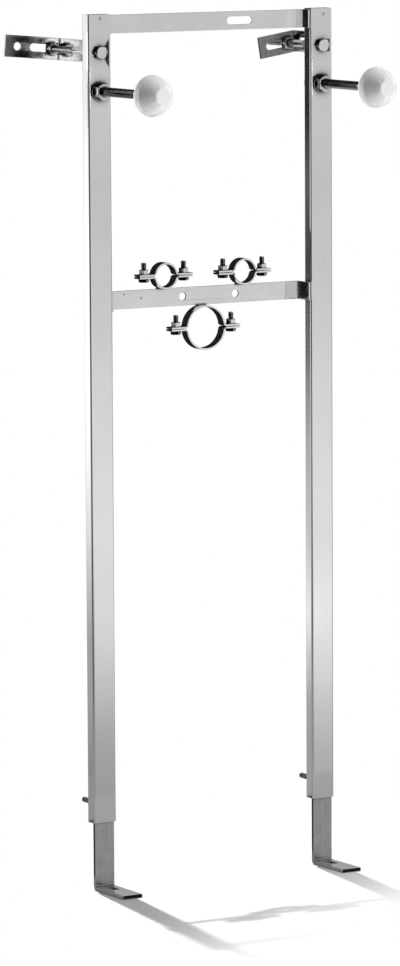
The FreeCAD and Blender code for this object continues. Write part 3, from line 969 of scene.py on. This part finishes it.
    def floor(self):
        """A white floor that keeps the shadow near the feet and runs out to plain white."""
        material, tree = new_material("stage_floor")
        split = add_node(tree, "SeparateXYZ", {0: object_place(tree)}).outputs
        slanted = calculate(tree, "MULTIPLY", split["X"], self.fade_slant)
        ahead = calculate(tree, "SUBTRACT", slanted, split["Y"])
        aside = calculate(tree, "ABSOLUTE", split["X"])
        drift = calculate(tree, "MULTIPLY", split["Y"], self.sun_from[0] / self.sun_from[1])
        across = calculate(tree, "SUBTRACT", split["X"], drift)
        fade = calculate(tree, "POWER", remap(tree, ahead, *self.fade_ahead), 2.0)
        for source, limits in ((split["Y"], self.fade_behind), (aside, self.fade_aside),
                               (across, self.fade_left)):
            fade = calculate(tree, "MAXIMUM", fade, remap(tree, source, *limits))
        path = add_node(tree, "LightPath").outputs
        mirrored = path["Is Glossy Ray"]
        seen = calculate(tree, "MULTIPLY", self.seen_directly(tree), fade)
        share = calculate(tree, "MAXIMUM", seen, mirrored)
        strength = mix_values(tree, mirrored, 1.0, self.floor_mirrored)
        colour = mix_colours(tree, path["Is Diffuse Ray"], self.floor_colour, self.floor_bounce)
        matt = add_node(tree, "BsdfDiffuse", {"Color": colour})
        white = add_node(tree, "Emission", {"Color": (1, 1, 1, 1), "Strength": strength})
        mixed = add_node(tree, "MixShader", {0: share, 1: matt.outputs[0], 2: white.outputs[0]})
        close_tree(tree, mixed)
        level = FLOOR - self.floor_drop
        reach = self.floor_reach
        corners = [(x * reach, y * reach, level) for x, y in ((-1, -1), (1, -1), (1, 1), (-1, 1))]
        self.plain_plane("stage_floor", corners, material)

    def card_material(self, name, levels, axis):
        """A card whose brightness follows (place, level) stops along an axis."""
        material, tree = new_material(name)
        split = add_node(tree, "SeparateXYZ", {0: object_place(tree)}).outputs
        first, last = levels[0][0], levels[-1][0]
        ramp = add_node(tree, "ValToRGB", {0: remap(tree, split[axis], first, last)})
        stops = ramp.color_ramp.elements
        while len(stops) < len(levels):
            stops.new(0.5)
        for stop, (at, level) in zip(stops, levels):
            stop.position = (at - first) / (last - first)
            stop.color = (level, level, level, 1)
        close_tree(tree, add_node(tree, "Emission", {"Color": ramp.outputs[0]}))
        return material

    def card(self, name, corners, levels, axis="Z"):
        """A flat card that shows only in mirror-like surfaces."""
        if isinstance(levels, float):
            levels = ((0.0, levels), (1.0, levels))
        made = self.plain_plane(name, corners, self.card_material(name, levels, axis))
        for ray in ("camera", "diffuse", "transmission", "shadow"):
            setattr(made, "visible_" + ray, False)

    def upright(self, name, start, end, low, high, levels, axis="Z"):
        """An upright card between two floor points."""
        self.card(name, [(*start, low), (*end, low), (*end, high), (*start, high)], levels, axis)

    def cards(self):
        """The studio round the frame, as the plated steel mirrors it."""
        for card in self.uprights:
            self.upright(*card)
        for name, (corners, levels) in self.others.items():
            self.card(name, corners, levels)
        flats = [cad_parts[node] for node in self.flat_nodes]
        left_card = bpy.data.objects["front_card_left"]
        left_card.light_linking.receiver_collection = self.receivers("posts_bars_feet", flats, "INCLUDE")
        for bar in BARS:
            low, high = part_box(bar)
            self.upright(bar + "_end_card", (self.end_starts[bar], self.end_depth),
                         (self.end_stop, self.end_depth), low[2] - 1 * MM, high[2] - 1 * MM, self.end_level)
            face = high[0] - BAR_SHEET
            front = high[1] - BAR_SHEET
            reach = self.tab_slope * (front - low[1]) + 1 * MM
            far = (face - self.tab_far[0] * reach, front - self.tab_far[1] * reach)
            self.upright(bar + "_tab_card", (face - reach, front - 0.2 * MM), far,
                         low[2] - 4 * MM, high[2] + 1 * MM, 0.0)
        for side in SIDES:
            low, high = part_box(side + "_foot")
            toe = low[1] - 2 * MM
            self.upright(side + "_toe_card", (low[0], toe), (high[0] + 4 * MM, toe), FLOOR,
                         FLOOR + 4 * MM, 0.0)

    def lamp(self, name, kind, place, aim, power, receivers, **values):
        """A lamp that lights the matt surfaces of a collection and isn't seen itself."""
        data = bpy.data.lights.new(name, kind)
        data.energy = power
        for key, value in values.items():
            setattr(data, key, value)
        made = bpy.data.objects.new(name, data)
        bpy.context.scene.collection.objects.link(made)
        made.matrix_world = facing(place, Vector(place) - Vector(aim))
        made.visible_camera = False
        made.visible_glossy = False
        made.light_linking.receiver_collection = receivers

    def receivers(self, name, objects, state):
        """Objects as a collection that a lamp or a card lights alone or leaves out."""
        made = bpy.data.collections.new(name)
        for lit in objects:
            made.objects.link(lit)
        for entry in made.collection_objects:
            entry.light_linking.link_state = state
        return made

    def lamps(self, settings):
        """A sun for the floor's shadow, and the same four lamps round each white cap."""
        caps = {side: bpy.data.objects[side + "_cap"] for side in SIDES}
        rest = self.receivers("all_but_caps", caps.values(), "EXCLUDE")
        self.lamp("key_sun", "SUN", self.sun_from, (0, 0, 0), settings.sun, rest, angle=self.sun_angle)
        for side in SIDES:
            cap = middle(side + "_stud_cap")
            alone = self.receivers(side + "_cap_alone", [caps[side]], "INCLUDE")
            for name, (setting, kind, offset, shape) in self.cap_lamps.items():
                self.lamp(side + "_" + name, kind, cap + Vector(offset), cap, getattr(settings, setting),
                          alone, **shape)

    def world(self, settings):
        """A white surround whose even light on the frame is dimmer from one side."""
        world = bpy.data.worlds.new("studio")
        bpy.context.scene.world = world
        world.use_nodes = True
        tree = world.node_tree
        tree.nodes.clear()
        place = add_node(tree, "TexCoord").outputs["Generated"]
        toward = add_node(tree, "VectorMath", {0: place, 1: self.dim_side}, operation="DOT_PRODUCT")
        level = remap(tree, toward.outputs["Value"], *self.dim_range, settings.ambient,
                      self.dim_share * settings.ambient)
        strength = mix_values(tree, self.seen_directly(tree), level, 1.0)
        sky = add_node(tree, "Background", {"Color": (1, 1, 1, 1), "Strength": strength})
        close_tree(tree, sky, "OutputWorld")

    def camera(self):
        """The camera at the photograph's place and view."""
        data = bpy.data.cameras.new("photo_camera")
        data.sensor_fit = "VERTICAL"
        data.sensor_height = self.sensor
        data.lens = self.lens
        data.clip_end = 100
        made = bpy.data.objects.new("photo_camera", data)
        bpy.context.scene.collection.objects.link(made)
        matrix = Matrix.Translation(self.camera_place)
        for angle, axis in self.camera_turns:
            matrix = matrix @ Matrix.Rotation(math.radians(angle), 4, axis)
        made.matrix_world = matrix
        bpy.context.scene.camera = made

    def execute(self, context):
        settings = context.scene.basin_frame_stage
        context.scene.view_settings.view_transform = "Standard"
        self.floor()
        self.cards()
        self.lamps(settings)
        self.world(settings)
        self.camera()
        return {"FINISHED"}


GROUPS = {"basin_frame_sizes": BasinFrameSizes, "basin_frame_finish": BasinFrameFinish,
          "basin_frame_stage": BasinFrameStage}
OPERATORS = (BASINFRAME_OT_posts, BASINFRAME_OT_bars, BASINFRAME_OT_clamps, BASINFRAME_OT_studs,
             BASINFRAME_OT_caps, BASINFRAME_OT_brackets, BASINFRAME_OT_feet, BASINFRAME_OT_welds,
             BASINFRAME_OT_stage)


class BASINFRAME_PT_panel(bpy.types.Panel):
    """Lists the steps and their settings"""
    bl_idname = "BASINFRAME_PT_panel"
    bl_label = "Basin frame"
    bl_space_type = "VIEW_3D"
    bl_region_type = "UI"
    bl_category = "Basin frame"

    def draw(self, context):
        for operator in OPERATORS:
            self.layout.operator(operator.bl_idname)
        for group in GROUPS:
            settings = getattr(context.scene, group)
            box = self.layout.box()
            for name in settings.__annotations__:
                box.prop(settings, name)


CLASSES = (*GROUPS.values(), *OPERATORS, BASINFRAME_PT_panel)


def register():
    for cls in CLASSES:
        bpy.utils.register_class(cls)
    for name, cls in GROUPS.items():
        setattr(bpy.types.Scene, name, PointerProperty(type=cls))


def unregister():
    for name in GROUPS:
        delattr(bpy.types.Scene, name)
    for cls in reversed(CLASSES):
        bpy.utils.unregister_class(cls)


def main():
    register()
    bpy.ops.basinframe.posts()
    bpy.ops.basinframe.bars()
    bpy.ops.basinframe.clamps()
    bpy.ops.basinframe.studs()
    bpy.ops.basinframe.caps()
    bpy.ops.basinframe.brackets()
    bpy.ops.basinframe.feet()
    bpy.ops.basinframe.welds()
    bpy.ops.basinframe.stage()


if __name__ == "__main__":
    main()
